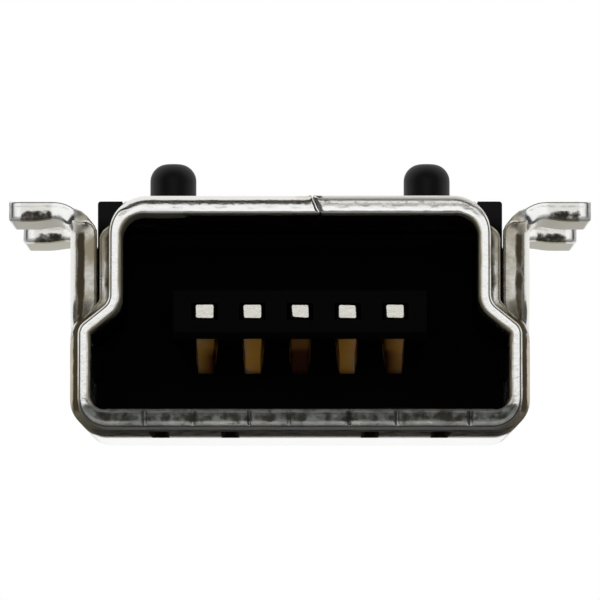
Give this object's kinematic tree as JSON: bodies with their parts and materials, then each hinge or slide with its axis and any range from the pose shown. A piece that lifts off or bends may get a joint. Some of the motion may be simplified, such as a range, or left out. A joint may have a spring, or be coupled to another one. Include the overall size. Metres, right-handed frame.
{
  "type": "mini usb board receptacle",
  "caption": "Board-mount mini receptacle: plated sheet-metal shell with solder tabs, black moulded housing with tongue and locating pegs, gold contact strips.",
  "frame": {"origin": "middle of the outer box, on the wide face of the shell on which the part lies", "axes": "+X across the mouth, -Y out of the mouth towards the plug, +Z from the wide face to the board side, so the part is turned over to be soldered"},
  "size_m": [0.0098, 0.0092, 0.0048],
  "materials": {
    "plated_sheet": "tin-plated sheet with brown stains and worn bright edges",
    "black_moulding": "matt black moulding",
    "gold_contact": "gold plating over spring metal, bright at the tips"
  },
  "bodies": {
    "root": {"shell": "plated_sheet", "housing": "black_moulding", "contact_1": "gold_contact", "contact_2": "gold_contact", "contact_3": "gold_contact", "contact_4": "gold_contact", "contact_5": "gold_contact"}
  },
  "joints": []
}
